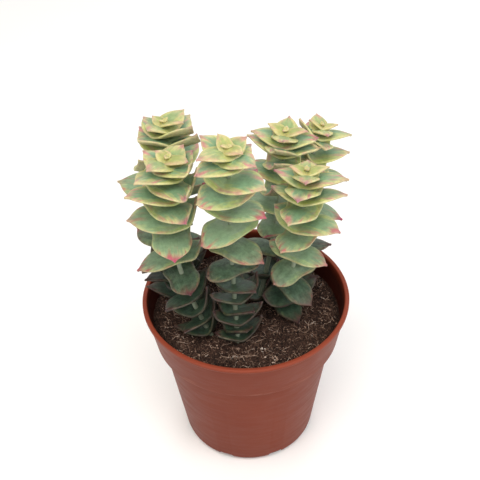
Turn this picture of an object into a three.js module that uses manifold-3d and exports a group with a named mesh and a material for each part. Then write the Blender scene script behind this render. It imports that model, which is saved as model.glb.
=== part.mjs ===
// String of buttons (Crassula perforata, variegated) in a round 10.5 cm nursery pot.
// Millimetres, +Z up, origin at the centre of the pot's underside, +Y towards the back.
import * as THREE from "three";
import { mergeVertices } from "three/addons/utils/BufferGeometryUtils.js";
import Module from "manifold-3d";

const wasm = await Module();
wasm.setup();

// ---- Driving dimensions ----

const GAP = 0.3; // clearance between pieces that touch

// The pot is a thin moulded cup: a tapering body under a wider collar with a lip.
const POT_HEIGHT = 91.3;
const POT_SIDES = 40;
const WALL = 1.3;
const RIM_RADIUS = 52.5;
const LIP_HEIGHT = 2.2;
const LIP_WIDTH = 2.3;
const COLLAR_HEIGHT = 23.4;
const COLLAR_TOP_RADIUS = 51.3;
const COLLAR_FOOT_RADIUS = 47.8;
const BODY_TOP_RADIUS = 44.6;
const FOOT_RADIUS = 35.6;
const FOOT_ROUND = 4.5; // radius of the curve from the wall into the underside
const FOOT_RING_INSIDE = 27.6;
const EDGE_ROUND = 0.6; // small bevels of the lip and the collar's foot
const PAD_RADIUS = 15; // flat middle of the underside, level with the foot ring
const UNDERSIDE_RECESS = 2; // depth of the drain channel between pad and foot ring
const DRAIN_COUNT = 8;
const DRAIN_WIDTH = 8;
const DRAIN_HEIGHT = 4;
const DRAIN_TURN = 0.5; // where the first slot is, as a share of the step between slots

// The soil fills the pot to about a centimetre below the rim.
const SOIL_LEVEL = 81;
const SOIL_RELIEF = 0.7; // height of its unevenness
const SOIL_SIDES = 32;
const SOIL_RINGS = 4;
const STEM_DEPTH = 12; // length of stem below the soil
const HOLE_RISE = 5; // how far up the stems the tubes go that cut their holes

// Pairs along a stem.
const HEAD_PAIRS = [0.5, 2, 4, 6.6, 10.1]; // the crowded young pairs, from a stem's tip
const SHORT_STEP = 5.1; // distance between pairs at both ends of a stem
const LONG_STEP = 13.7; // distance between pairs where they are furthest apart
const SPREAD_BELOW = 27; // how fast the steps shorten below that
const LOWEST_PAIR = 2.6; // height of the lowest pair above the soil

// Leaves: lengths are from the stem's axis to the leaf's point.
const LEAF_LENGTH = 19.5; // the largest leaves, a little below the head
const LOW_LEAF_SHARE = 0.85; // length of the lowest leaves as a share of that
const LEAF_WIDTH_SHARE = { high: 0.47, low: 0.45 }; // half width to length
const LEAF_THICKNESS = 2.5;
const LEAF_EDGE_SHARE = 0.42; // thickness at the margin as a share of the middle
const POINT_THICKNESS_SHARE = 0.5;
const YOUNG_THICKNESS_SHARE = 0.45;
const LEAST_THICKNESS = 0.7;
const POINT_WIDTH = 0.02; // half width of the blunt point as a share of the widest
const YOUNG_WIDTH = 6.5; // half width under which a leaf needs fewer points
// Rows of points from the stem to a leaf's point, as shares of its length.
const LEAF_ROWS = { young: [0.6, 1], grown: [0.3, 0.6, 0.85, 1], low: [0.45, 0.8, 1] };
const WAIST_SHARE = 0.9; // half width at the stem as a share of the widest
const WIDEST_AT = 0.45; // share of the length from stem to point
const POINTED = { young: 2.6, grown: 3.8, low: 2.3 }; // how late and how suddenly the leaf narrows
const BLUNTING = [8, 34]; // where leaves go from young to grown, from the tip
const BEAK = { from: 0.95, width: 0.07 }; // the small drawn-out point of each leaf
const GROWTH_LENGTH = 3.2; // distance from the tip over which leaves grow up
const SHRINKING = [36, 72]; // where they shorten again, from the tip

// Posture: rise and fall for each millimetre of length, by how far down the stem a leaf is.
const FLATTENING = [30, 58]; // where the leaves lie down, from the tip
const RISING_AGAIN = [72, 90]; // where the lowest ones stand up again
const SLOPE = { usual: 0.6, flat: 0.01, young: 0.2 };
const CURL = { high: 0.32, low: 0.05 }; // fall of the point
const CUP = { high: -0.04, low: 0.16 }; // rise of the margins
const SADDLE = 0.1; // share of the length where the pair is level across the stem
const UNEVEN = { turn: 9, length: 0.07, tilt: 0.12, sway: 1.6 }; // degrees, shares and mm

const STEM_SIDES = 6;
const STEM_RADIUS_LOW = 1.6;
const STEM_RADIUS_HIGH = 1;

// Clearances that leaves are bent by, from one leaf's middle surface.
const NEIGHBOUR_SPACE = 1.0; // to the plane halfway to the next stem
const OVERHEAD = 4; // height above a neighbour's tip where its space ends
const WIDENING = 2; // gain in room for each millimetre above a neighbour or the rim
const POT_SPACE = 1.6;
const SOIL_SPACE = 1.9;
const BEND_LENGTH = 4; // how softly a leaf gives way
const BEND_LIFT = 0.75; // how far it turns up for each millimetre it gives way

// Each stem is a gentle arc from its foot in the soil by a bend to its tip.
// facing: direction of every second pair, in degrees from +X, at the tip and one and two spans below.
// size: share of the usual leaf length at the same three places.
// lean: the way, in x and y, that the upper leaves are longer, as a share of their length.
// spacing: where the grown pairs begin, where their steps are longest, how fast they shorten above
// that, and how many grown pairs there are.
const SPAN = 50;
const STEMS = {
  leafy_stem_front: {
    foot: [-4.6, -24.1],
    bend: [-7, -9.9, 134],
    tip: [-5.7, -20.2, 195.1],
    facing: [218, 232, 206],
    size: [0.91, 1.04, 0.96],
    lean: [-0.17, -0.25],
    spacing: [19.7, 68, 53, 12],
    seed: 11,
  },
  leafy_stem_front_left: {
    foot: [-18.5, -16.8],
    bend: [-39.6, -12.2, 132],
    tip: [-31.8, -13.8, 186.6],
    facing: [232, 181, 257],
    size: [1, 1.07, 0.95],
    lean: [0.16, -0.25],
    spacing: [15.9, 60, 27, 11],
    seed: 143,
  },
  leafy_stem_front_right: {
    foot: [19.1, 4],
    bend: [24.8, -16.4, 122],
    tip: [28.8, -7.2, 172.8],
    facing: [259, 232, 202],
    size: [0.98, 0.87, 1.08],
    lean: [0.12, -0.25],
    spacing: [15, 66, 41, 9],
    seed: 364,
  },
  leafy_stem_back_left: {
    foot: [-31.5, 6.4],
    bend: [-38, 4.5, 132],
    tip: [-34.6, 12.9, 187.7],
    facing: [228, 264, 189],
    size: [0.96, 1.42, 1.05],
    lean: [0.25, -0.06],
    spacing: [12.3, 42, 59, 11],
    seed: 282,
  },
  leafy_stem_back_middle: {
    foot: [6.5, 4.3],
    bend: [18.5, 17.4, 124],
    tip: [21.1, 20.2, 176],
    facing: [255, 261, 222],
    size: [1.04, 0.95, 1.12],
    lean: [0.05, -0.1],
    spacing: [11.5, 63, 32, 9],
    seed: 10,
  },
  leafy_stem_back_right: {
    foot: [27.1, 20.2],
    bend: [24.9, 26.4, 124],
    tip: [39.5, 31.9, 171],
    facing: [274, 257, 303],
    size: [0.78, 1.22, 1.05],
    lean: [0.09, -0.02],
    spacing: [17.8, 66, 35, 9],
    seed: 67,
  },
};

// ---- Solids ----

function solidOf(geometry) {
  geometry.deleteAttribute("normal");
  geometry.deleteAttribute("uv");
  const merged = mergeVertices(geometry, 1e-3);
  return new wasm.Manifold(
    new wasm.Mesh({
      numProp: 3,
      vertProperties: merged.attributes.position.array,
      triVerts: new Uint32Array(merged.index.array),
    }),
  );
}

function geometryOf(solid) {
  const mesh = solid.getMesh();
  const positions = new Float32Array(mesh.numVert * 3);
  for (let i = 0; i < mesh.numVert; i++) {
    positions.set(mesh.vertProperties.subarray(i * mesh.numProp, i * mesh.numProp + 3), i * 3);
  }
  return new THREE.BufferGeometry()
    .setAttribute("position", new THREE.BufferAttribute(positions, 3))
    .setIndex(new THREE.BufferAttribute(mesh.triVerts, 1));
}

function indexedGeometry(points, triangles) {
  return new THREE.BufferGeometry()
    .setAttribute("position", new THREE.Float32BufferAttribute(points.flatMap((p) => p.toArray()), 3))
    .setIndex(triangles.flat());
}

function join(solids) {
  return solids.reduce((whole, solid) => whole.add(solid));
}

// A turned shape about +Z from a profile of [radius, height] points.
function turned(profile, sides) {
  const points = profile.map(([radius, height]) => new THREE.Vector2(radius, height));
  return new THREE.LatheGeometry(points, sides).rotateX(Math.PI / 2);
}

// ---- Small helpers ----

function mix(a, b, share) {
  return a + (b - a) * share;
}

function smoothStep(low, high, value) {
  const share = THREE.MathUtils.clamp((value - low) / (high - low), 0, 1);
  return share * share * (3 - 2 * share);
}

// A repeatable draw between -1 and 1 for each stem's seed, pair and purpose.
function draw(seed, index, purpose) {
  const wave = Math.sin(seed * 12.9898 + index * 78.233 + purpose * 37.719) * 43758.5453;
  return 2 * (wave - Math.floor(wave)) - 1;
}

// Anything beyond limit - soft eases towards limit and never reaches it.
function easedLimit(value, limit, soft) {
  const start = limit - soft;
  return value <= start ? value : start + soft * (1 - Math.exp((start - value) / soft));
}

// ---- Pot ----

const COLLAR_FOOT = POT_HEIGHT - COLLAR_HEIGHT;

// Inside radius of the pot at a height.
function potInside(height) {
  if (height > COLLAR_FOOT) {
    const share = (height - COLLAR_FOOT) / COLLAR_HEIGHT;
    return mix(COLLAR_FOOT_RADIUS - WALL, RIM_RADIUS - LIP_WIDTH, share);
  }
  const share = (height - FOOT_ROUND) / (COLLAR_FOOT - FOOT_ROUND);
  return mix(FOOT_RADIUS, BODY_TOP_RADIUS, share) - WALL;
}

function footCurve(steps) {
  const centre = [FOOT_RADIUS - FOOT_ROUND, FOOT_ROUND];
  return Array.from({ length: steps + 1 }, (_, i) => {
    const angle = -Math.PI / 2 + (i / steps) * (Math.PI / 2);
    return [centre[0] + FOOT_ROUND * Math.cos(angle), centre[1] + FOOT_ROUND * Math.sin(angle)];
  });
}

function makePot() {
  const channelTop = UNDERSIDE_RECESS;
  const floorTop = UNDERSIDE_RECESS + WALL;
  const lipFoot = POT_HEIGHT - LIP_HEIGHT;
  const ledge = COLLAR_FOOT + WALL;
  const profile = [
    [0, 0],
    [PAD_RADIUS, 0],
    [PAD_RADIUS + UNDERSIDE_RECESS / 2, channelTop],
    [FOOT_RING_INSIDE - UNDERSIDE_RECESS / 2, channelTop],
    [FOOT_RING_INSIDE, 0],
    ...footCurve(3),
    [BODY_TOP_RADIUS, COLLAR_FOOT],
    [COLLAR_FOOT_RADIUS - EDGE_ROUND, COLLAR_FOOT],
    [COLLAR_FOOT_RADIUS, COLLAR_FOOT + EDGE_ROUND],
    [COLLAR_TOP_RADIUS, lipFoot],
    [RIM_RADIUS, lipFoot + EDGE_ROUND],
    [RIM_RADIUS, POT_HEIGHT - EDGE_ROUND],
    [RIM_RADIUS - EDGE_ROUND, POT_HEIGHT],
    [RIM_RADIUS - LIP_WIDTH + EDGE_ROUND, POT_HEIGHT],
    [RIM_RADIUS - LIP_WIDTH, POT_HEIGHT - EDGE_ROUND],
    [potInside(ledge), ledge],
    [potInside(COLLAR_FOOT), ledge],
    [potInside(FOOT_ROUND), FOOT_ROUND + WALL],
    [potInside(0) - FOOT_ROUND / 2, floorTop],
    [0, floorTop],
  ];
  const cup = solidOf(turned(profile, POT_SIDES));
  // Drain slots through the corner between wall and underside.
  const slotLength = FOOT_RADIUS - FOOT_RING_INSIDE + FOOT_ROUND;
  const slots = Array.from({ length: DRAIN_COUNT }, (_, i) => {
    const slot = new THREE.BoxGeometry(slotLength, DRAIN_WIDTH, DRAIN_HEIGHT * 2);
    slot.translate(FOOT_RING_INSIDE + slotLength / 2, 0, 0);
    slot.rotateZ(((i + DRAIN_TURN) * 2 * Math.PI) / DRAIN_COUNT);
    return solidOf(slot);
  });
  return slots.reduce((pot, slot) => pot.subtract(slot), cup);
}

// ---- Stems ----

const PAST_FOOT = -0.15; // share of the arc by which it is followed down past its foot

// The arc of a stem above the soil, and straight on down below it.
class StemAxis {
  constructor({ foot, bend, tip }) {
    this.curve = new THREE.QuadraticBezierCurve3(
      new THREE.Vector3(...foot, SOIL_LEVEL),
      new THREE.Vector3(...bend),
      new THREE.Vector3(...tip),
    );
    this.length = this.curve.getLength();
    this.top = tip[2];
    this.footPoint = this.curve.getPoint(0);
    this.footDirection = this.curve.getTangent(0);
  }

  pointAt(fromTip) {
    return this.curve.getPointAt(1 - fromTip / this.length);
  }

  directionAt(fromTip) {
    return this.curve.getTangentAt(1 - fromTip / this.length);
  }

  // The axis where it crosses a height, as a flat x and y.
  crossing(height) {
    const { v0, v1, v2 } = this.curve;
    const a = v0.z - 2 * v1.z + v2.z;
    const b = 2 * (v1.z - v0.z);
    const c = v0.z - height;
    const root = Math.sqrt(Math.max(b * b - 4 * a * c, 0));
    const share = THREE.MathUtils.clamp((2 * -c) / (b + root), PAST_FOOT, 1);
    return this.curve.getPoint(share);
  }

  radiusAt(fromTip) {
    return mix(STEM_RADIUS_HIGH, STEM_RADIUS_LOW, fromTip / this.length);
  }
}

const axes = Object.fromEntries(Object.entries(STEMS).map(([name, stem]) => [name, new StemAxis(stem)]));

// A tube of rings along the stem, from below the soil to just under the tip.
function stemTube(axis, extra, fromTips) {
  const down = axis.footDirection.clone().multiplyScalar(-(STEM_DEPTH + extra));
  const centres = [axis.footPoint.clone().add(down), ...fromTips.map((d) => axis.pointAt(d))];
  const radii = [STEM_RADIUS_LOW, ...fromTips.map((d) => axis.radiusAt(d))].map((r) => r + extra);
  const points = [];
  centres.forEach((centre, i) => {
    for (let k = 0; k < STEM_SIDES; k++) {
      const angle = (2 * Math.PI * k) / STEM_SIDES;
      const spoke = new THREE.Vector3(Math.cos(angle), Math.sin(angle), 0);
      points.push(centre.clone().addScaledVector(spoke, radii[i]));
    }
  });
  const triangles = [];
  const last = (centres.length - 1) * STEM_SIDES;
  for (let i = 0; i < last; i += STEM_SIDES) {
    for (let k = 0; k < STEM_SIDES; k++) {
      const next = (k + 1) % STEM_SIDES;
      triangles.push([i + k, i + next, i + STEM_SIDES + next]);
      triangles.push([i + k, i + STEM_SIDES + next, i + STEM_SIDES + k]);
    }
  }
  for (let k = 1; k < STEM_SIDES - 1; k++) {
    triangles.push([0, k + 1, k]);
    triangles.push([last, last + k, last + k + 1]);
  }
  return solidOf(indexedGeometry(points, triangles));
}

// ---- Leaf pairs ----

// Distances of all the pairs from a stem's tip, stretched so that the last is just above the soil.
function pairDistances([first, longestAt, spreadAbove, count], length) {
  const lowest = length - LOWEST_PAIR;
  const distances = [first];
  let fromTip = first;
  while (distances.length < count) {
    const spread = fromTip < longestAt ? spreadAbove : SPREAD_BELOW;
    const bump = Math.exp(-(((fromTip - longestAt) / spread) ** 2));
    fromTip += mix(SHORT_STEP, LONG_STEP, bump);
    distances.push(fromTip);
  }
  const stretch = (lowest - first) / (fromTip - first);
  return [...HEAD_PAIRS, ...distances.map((d) => first + (d - first) * stretch)];
}

// A value given at the tip and one and two spans below it.
function alongStem([atTip, atMiddle, atFoot], fromTip) {
  const place = fromTip / SPAN;
  return place < 1 ? mix(atTip, atMiddle, place) : mix(atMiddle, atFoot, place - 1);
}

// Two leaves joined round the stem: their size, direction and posture.
function pairShape(stem, index, fromTip) {
  const youth = Math.exp(-fromTip / GROWTH_LENGTH);
  const risen = smoothStep(...RISING_AGAIN, fromTip);
  const flatness = smoothStep(...FLATTENING, fromTip) * (1 - risen);
  const lowness = smoothStep(...SHRINKING, fromTip);
  const grown = 1 - Math.exp(-fromTip / GROWTH_LENGTH);
  const share = grown * mix(1, LOW_LEAF_SHARE, lowness);
  const length = LEAF_LENGTH * share * alongStem(stem.size, fromTip);
  const turn = (index % 2) * 90 + UNEVEN.turn * draw(stem.seed, index, 3);
  const facing = THREE.MathUtils.degToRad(alongStem(stem.facing, fromTip) + turn);
  return {
    facing,
    lengths: [1, -1].map((way) => {
      const leaning = way * (Math.cos(facing) * stem.lean[0] + Math.sin(facing) * stem.lean[1]);
      const fading = Math.max(1 - fromTip / SPAN, 0);
      return length * (1 + leaning * fading + UNEVEN.length * draw(stem.seed, index, way));
    }),
    width: length * mix(LEAF_WIDTH_SHARE.high, LEAF_WIDTH_SHARE.low, lowness),
    thickness: LEAF_THICKNESS * mix(YOUNG_THICKNESS_SHARE, 1, grown),
    slope: mix(SLOPE.usual, SLOPE.flat, flatness) + SLOPE.young * youth,
    curl: mix(CURL.high, CURL.low, lowness),
    cup: mix(CUP.high, CUP.low, risen),
    pointed: mix(mix(POINTED.young, POINTED.grown, smoothStep(...BLUNTING, fromTip)), POINTED.low, risen),
    tilt: UNEVEN.tilt * draw(stem.seed, index, 4),
    sway: [5, 6].map((side) => UNEVEN.sway * draw(stem.seed, index, side)),
  };
}

// Half width of a leaf along its length, 0 at the stem and 1 at the point.
function leafOutline(reach, pointed) {
  const shoulder = mix(WAIST_SHARE, 1, smoothStep(0, WIDEST_AT, reach));
  const blade = shoulder * Math.max(1 - (reach / BEAK.from) ** pointed, 0);
  const beak = BEAK.width * Math.min((1 - reach) / (1 - BEAK.from), 1);
  return Math.hypot(blade, beak) + POINT_WIDTH;
}

// A point of the pair's middle surface: along is -1 to 1 from point to point, across -1 to 1.
function middleSurface(frame, shape, along, across) {
  const reach = Math.abs(along);
  const side = along < 0 ? 1 : 0;
  const length = shape.lengths[side];
  const half = shape.width * leafOutline(reach, shape.pointed);
  const rise = length * (shape.slope * (Math.hypot(reach, SADDLE) - SADDLE) - shape.curl * reach ** 2);
  const local = new THREE.Vector3(
    along * length,
    across * half + shape.sway[side] * reach ** 2,
    rise + shape.cup * half * across ** 2 + shape.tilt * across * half,
  );
  return giveWay(local.applyMatrix4(frame), frame.stemName);
}

// Leaves bend up and in where they meet a neighbouring stem's leaves, the pot or the soil.
function giveWay(point, stemName) {
  const own = axes[stemName].crossing(point.z);
  const moved = point.clone();
  for (const [name, axis] of Object.entries(axes)) {
    if (name === stemName) continue;
    const towards = axis.crossing(point.z).sub(own).setZ(0);
    const above = Math.max(point.z - axis.top - OVERHEAD, 0);
    const limit = towards.length() / 2 - NEIGHBOUR_SPACE + WIDENING * above;
    towards.normalize();
    const reach = moved.clone().sub(own).dot(towards);
    const eased = easedLimit(reach, limit, BEND_LENGTH);
    moved.addScaledVector(towards, eased - reach);
    moved.z += (reach - eased) * BEND_LIFT;
  }
  const wallLimit = potInside(moved.z) - POT_SPACE + WIDENING * Math.max(moved.z - POT_HEIGHT, 0);
  const radius = Math.hypot(moved.x, moved.y);
  const easedRadius = easedLimit(radius, wallLimit, BEND_LENGTH);
  moved.x *= easedRadius / radius;
  moved.y *= easedRadius / radius;
  moved.z += (radius - easedRadius) * BEND_LIFT;
  moved.z = -easedLimit(-moved.z, -(SOIL_LEVEL + SOIL_SPACE), BEND_LENGTH / 2);
  return moved;
}

function pairFrame(stemName, axis, shape, fromTip) {
  const upward = axis.directionAt(fromTip);
  const outward = new THREE.Vector3(Math.cos(shape.facing), Math.sin(shape.facing), 0);
  outward.addScaledVector(upward, -outward.dot(upward)).normalize();
  const sideways = new THREE.Vector3().crossVectors(upward, outward);
  const frame = new THREE.Matrix4().makeBasis(outward, sideways, upward);
  frame.setPosition(axis.pointAt(fromTip));
  frame.stemName = stemName;
  return frame;
}

const ACROSS = [-1, 0, 1];

// The pair as one closed blade: a grid of points on each face and a band round the margin.
function leafPair(stemName, axis, shape, fromTip) {
  const frame = pairFrame(stemName, axis, shape, fromTip);
  const fullRows = fromTip > RISING_AGAIN[0] ? LEAF_ROWS.low : LEAF_ROWS.grown;
  const rows = shape.width < YOUNG_WIDTH ? LEAF_ROWS.young : fullRows;
  const along = [...rows.map((s) => -s).reverse(), 0, ...rows];
  const points = [];
  const step = 0.02; // small enough for the surface's direction
  for (const face of [1, -1]) {
    for (const s of along) {
      for (const t of ACROSS) {
        const here = middleSurface(frame, shape, s, t);
        const lengthwise = middleSurface(frame, shape, s + step, t)
          .sub(middleSurface(frame, shape, s - step, t));
        const crosswise = middleSurface(frame, shape, s, t + step)
          .sub(middleSurface(frame, shape, s, t - step));
        const normal = lengthwise.cross(crosswise).normalize();
        const edge = mix(1, LEAF_EDGE_SHARE, t * t) * mix(1, POINT_THICKNESS_SHARE, s * s);
        const thickness = Math.max(shape.thickness * edge, LEAST_THICKNESS);
        points.push(here.addScaledVector(normal, (face * thickness) / 2));
      }
    }
  }
  return solidOf(indexedGeometry(points, bladeTriangles(along.length, ACROSS.length)));
}

// Both faces are split alike, mirrored about the midrib.
function bladeTriangles(rows, columns) {
  const triangles = [];
  const lower = rows * columns;
  const at = (row, column) => row * columns + column;
  for (let row = 0; row < rows - 1; row++) {
    for (let column = 0; column < columns - 1; column++) {
      const a = at(row, column);
      const b = at(row, column + 1);
      const c = at(row + 1, column + 1);
      const d = at(row + 1, column);
      const leftHalf = column < (columns - 1) / 2;
      const split = leftHalf ? [[a, c, b], [a, d, c]] : [[a, d, b], [b, d, c]];
      for (const [i, j, k] of split) {
        triangles.push([i, j, k], [lower + i, lower + k, lower + j]);
      }
    }
  }
  const band = (from, to) => {
    triangles.push([from, to, lower + to], [from, lower + to, lower + from]);
  };
  for (let row = 0; row < rows - 1; row++) {
    band(at(row + 1, 0), at(row, 0));
    band(at(row, columns - 1), at(row + 1, columns - 1));
  }
  for (let column = 0; column < columns - 1; column++) {
    band(at(0, column), at(0, column + 1));
    band(at(rows - 1, column + 1), at(rows - 1, column));
  }
  return triangles;
}

function makeLeafyStem(stemName) {
  const stem = STEMS[stemName];
  const axis = axes[stemName];
  const distances = pairDistances(stem.spacing, axis.length);
  const pairs = distances.map((fromTip, index) => {
    return leafPair(stemName, axis, pairShape(stem, index, fromTip), fromTip);
  });
  const everySecond = distances.filter((d, i) => i % 2 && i > HEAD_PAIRS.length);
  const rings = [axis.length, ...everySecond.reverse(), HEAD_PAIRS[0]];
  return join([stemTube(axis, 0, rings), ...pairs]);
}

// ---- Soil ----

function soilRelief(x, y) {
  const broad = Math.sin(0.13 * x + 0.7) * Math.cos(0.11 * y - 0.4);
  const small = Math.sin(0.34 * x - 0.29 * y + 1.3);
  return SOIL_RELIEF * (0.6 * broad + 0.4 * small);
}

function makeSoil() {
  const floor = UNDERSIDE_RECESS + WALL + GAP;
  const ledge = COLLAR_FOOT + WALL + GAP;
  const inset = 1.5 * GAP; // the fewer sides of the soil bring its flats nearer the axis
  const edge = potInside(SOIL_LEVEL) - inset;
  const sides = [
    [potInside(0) - FOOT_ROUND / 2 - inset, floor],
    [potInside(FOOT_ROUND) - inset, FOOT_ROUND + WALL + GAP],
    [potInside(COLLAR_FOOT) - inset, ledge],
    [potInside(ledge) - inset, ledge],
    [edge, SOIL_LEVEL],
  ];
  const rings = Array.from({ length: SOIL_RINGS - 1 }, (_, i) => {
    return [edge * (1 - (i + 1) / SOIL_RINGS), SOIL_LEVEL];
  });
  const soil = turned([[0, floor], ...sides, ...rings, [0, SOIL_LEVEL]], SOIL_SIDES);
  const position = soil.attributes.position;
  for (let i = 0; i < position.count; i++) {
    if (position.getZ(i) > SOIL_LEVEL - 0.01) {
      position.setZ(i, SOIL_LEVEL + soilRelief(position.getX(i), position.getY(i)));
    }
  }
  const holes = Object.values(axes).map((axis) => {
    return stemTube(axis, GAP, [axis.length, axis.length - HOLE_RISE]);
  });
  return holes.reduce((body, hole) => body.subtract(hole), solidOf(soil));
}

// ---- Assembly ----

const MATERIALS = {
  pot: { color: 0x8f4a37, roughness: 0.55 },
  soil: { color: 0x4a3a2c, roughness: 1 },
  leaves: { color: 0x84996e, roughness: 0.5 },
};

function addPiece(group, name, material, solid) {
  const mesh = new THREE.Mesh(geometryOf(solid), new THREE.MeshStandardMaterial(MATERIALS[material]));
  mesh.name = name;
  group.add(mesh);
}

const plant = new THREE.Group();
addPiece(plant, "pot", "pot", makePot());
addPiece(plant, "soil", "soil", makeSoil());
for (const stemName of Object.keys(STEMS)) {
  addPiece(plant, stemName, "leaves", makeLeafyStem(stemName));
}

export default plant;
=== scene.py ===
import math

import bpy
import numpy as np
from mathutils import Matrix, Vector, noise


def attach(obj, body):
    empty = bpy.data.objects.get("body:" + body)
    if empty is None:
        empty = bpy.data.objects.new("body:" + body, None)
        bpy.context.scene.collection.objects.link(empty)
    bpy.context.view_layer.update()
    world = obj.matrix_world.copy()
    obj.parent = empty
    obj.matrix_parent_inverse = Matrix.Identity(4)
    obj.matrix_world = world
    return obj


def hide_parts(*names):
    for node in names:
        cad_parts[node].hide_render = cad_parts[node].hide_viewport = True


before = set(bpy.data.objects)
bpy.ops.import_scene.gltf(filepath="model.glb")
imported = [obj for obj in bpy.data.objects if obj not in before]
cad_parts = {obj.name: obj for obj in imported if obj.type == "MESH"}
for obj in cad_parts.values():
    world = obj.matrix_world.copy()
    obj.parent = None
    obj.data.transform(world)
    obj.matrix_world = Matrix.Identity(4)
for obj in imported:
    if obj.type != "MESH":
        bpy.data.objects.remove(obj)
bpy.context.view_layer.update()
scene = bpy.context.scene
scene.view_settings.view_transform = "Standard"


# Sizes are written in millimetres, and turned into metres for meshes, lights and the camera.
def mm(value):
    return value / 1000


def mmPoint(point):
    return Vector(point) / 1000


def mix(a, b, share):
    return a + (b - a) * share


def smoothStep(low, high, value):
    share = np.clip((value - low) / (high - low), 0, 1)
    return share * share * (3 - 2 * share)


# sRGB hex to the linear colour that shaders and lights take
def linear(hexColour):
    channels = [int(hexColour[i:i + 2], 16) / 255 for i in (1, 3, 5)]
    return tuple(c / 12.92 if c <= 0.04045 else ((c + 0.055) / 1.055) ** 2.4 for c in channels) + (1.0,)


# A setting is a property where the node has one of that name, and else an input's name or number.
# A link comes from a socket, or from a node's first output.
def addNode(tree, kind, settings=None, links=None):
    node = tree.nodes.new("ShaderNode" + kind)
    for name, value in (settings or {}).items():
        if isinstance(name, str) and hasattr(node, name):
            setattr(node, name, value)
        else:
            node.inputs[name].default_value = value
    for name, source in (links or {}).items():
        socket = source.outputs[0] if isinstance(source, bpy.types.Node) else source
        tree.links.new(socket, node.inputs[name])
    return node


smoothly = {"interpolation_type": "SMOOTHSTEP"}  # for a range that eases in and out


def newMaterial(name):
    material = bpy.data.materials.new(name)
    material.use_nodes = True
    material.node_tree.nodes.clear()
    return material, material.node_tree


def finishMaterial(tree, shader):
    addNode(tree, "OutputMaterial", links={"Surface": shader})


def addPrimitive(operator, name, **settings):
    bpy.ops.object.select_all(action="DESELECT")
    operator(**settings)
    piece = bpy.context.object
    piece.name = name
    piece.data.name = name
    return piece


def editAll():
    bpy.ops.object.mode_set(mode="EDIT")
    bpy.ops.mesh.select_all(action="SELECT")


def selectOnly(piece):
    bpy.ops.object.select_all(action="DESELECT")
    piece.select_set(True)
    bpy.context.view_layer.objects.active = piece


def applyModifiers(piece):
    selectOnly(piece)
    for modifier in list(piece.modifiers):
        bpy.ops.object.modifier_apply(modifier=modifier.name)


# Walks a vertex along a profile of (radius, height) and spins it once round the upright axis.
def spinProfile(name, profile, steps):
    piece = addPrimitive(bpy.ops.mesh.primitive_plane_add, name, size=mm(1))
    editAll()
    bpy.ops.mesh.merge(type="CENTER")
    radius, height = profile[0]
    bpy.ops.transform.translate(value=mmPoint((radius, 0, height)))
    for nextRadius, nextHeight in profile[1:]:
        move = mmPoint((nextRadius - radius, 0, nextHeight - height))
        bpy.ops.mesh.extrude_region_move(TRANSFORM_OT_translate={"value": move})
        radius, height = nextRadius, nextHeight
    bpy.ops.mesh.select_all(action="SELECT")
    bpy.ops.mesh.spin(steps=steps, angle=2 * math.pi, center=(0, 0, 0), axis=(0, 0, 1))
    bpy.ops.mesh.select_all(action="SELECT")
    bpy.ops.mesh.remove_doubles(threshold=mm(0.01))
    bpy.ops.mesh.normals_make_consistent(inside=False)
    bpy.ops.object.mode_set(mode="OBJECT")
    return piece


# Points of an arc of a profile, from one angle to another in degrees.
def arc(centre, radius, start, end, steps):
    angles = [math.radians(mix(start, end, i / steps)) for i in range(steps + 1)]
    return [(centre[0] + radius * math.cos(a), centre[1] + radius * math.sin(a)) for a in angles]


def meshPoints(piece):
    points = np.empty(len(piece.data.vertices) * 3)
    piece.data.vertices.foreach_get("co", points)
    return points.reshape(-1, 3)


# The points and faces of a blank, which is then removed.
def takeBlank(blank):
    points = meshPoints(blank)
    faces = [tuple(polygon.vertices) for polygon in blank.data.polygons]
    bpy.data.objects.remove(blank)
    return points, faces


# One piece from many shaped copies of a blank, with a value for each point under each attribute's name.
def fuseCopies(name, faces, copies, attributes):
    count = len(copies[0])
    allFaces = [tuple(corner + i * count for corner in face) for i in range(len(copies)) for face in faces]
    mesh = bpy.data.meshes.new(name)
    mesh.from_pydata(np.concatenate(copies).tolist(), [], allFaces)
    for attribute, values in attributes.items():
        values = np.concatenate(values).astype(np.float32)
        kind, key = ("FLOAT_VECTOR", "vector") if values.ndim == 2 else ("FLOAT", "value")
        mesh.attributes.new(attribute, kind, "POINT").data.foreach_set(key, values.ravel())
    mesh.shade_smooth()
    piece = bpy.data.objects.new(name, mesh)
    scene.collection.objects.link(piece)
    return piece


# Says what a piece rides on, and which CAD node it replaces, if any.
def handOver(piece, node=None):
    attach(piece, "root")
    if node:
        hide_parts(node)


view = {
    "target": (-1.95, 0, 126.9),
    "distance": 430,
    "nearest": 20,
    "elevation": 39.8,  # degrees above the horizon
    "roll": -1.95,  # degrees
    "lens": 66.75,
    "sensor": 36,
}


def placeCamera():
    elevation = math.radians(view["elevation"])
    away = Vector((0, -math.cos(elevation), math.sin(elevation))) * view["distance"]
    data = bpy.data.cameras.new("camera")
    data.lens = view["lens"]
    data.sensor_width = view["sensor"]
    data.clip_start = mm(view["nearest"])
    camera = bpy.data.objects.new("camera", data)
    tilt = Matrix.Rotation(math.pi / 2 - elevation, 4, "X")
    roll = Matrix.Rotation(math.radians(view["roll"]), 4, "Z")
    camera.matrix_world = Matrix.Translation(mmPoint(Vector(view["target"]) + away)) @ (tilt @ roll)
    scene.collection.objects.link(camera)
    scene.camera = camera


studio = {
    "floorSize": 6000,
    "floorColour": "#FFFEFC",
    "skyColour": "#FFFFFF",
    "skyStrength": 0.55,
    # place, size, watts and colour of each soft box
    "softBoxes": {
        "keyBox": ((-150, -460, 980), 900, 8.0, "#FFF9F1"),
        "fillBox": ((620, -420, 560), 800, 2.9, "#F6F9FF"),
        "backBox": ((100, 700, 700), 600, 1.6, "#FFFFFF"),
    },
}


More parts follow.
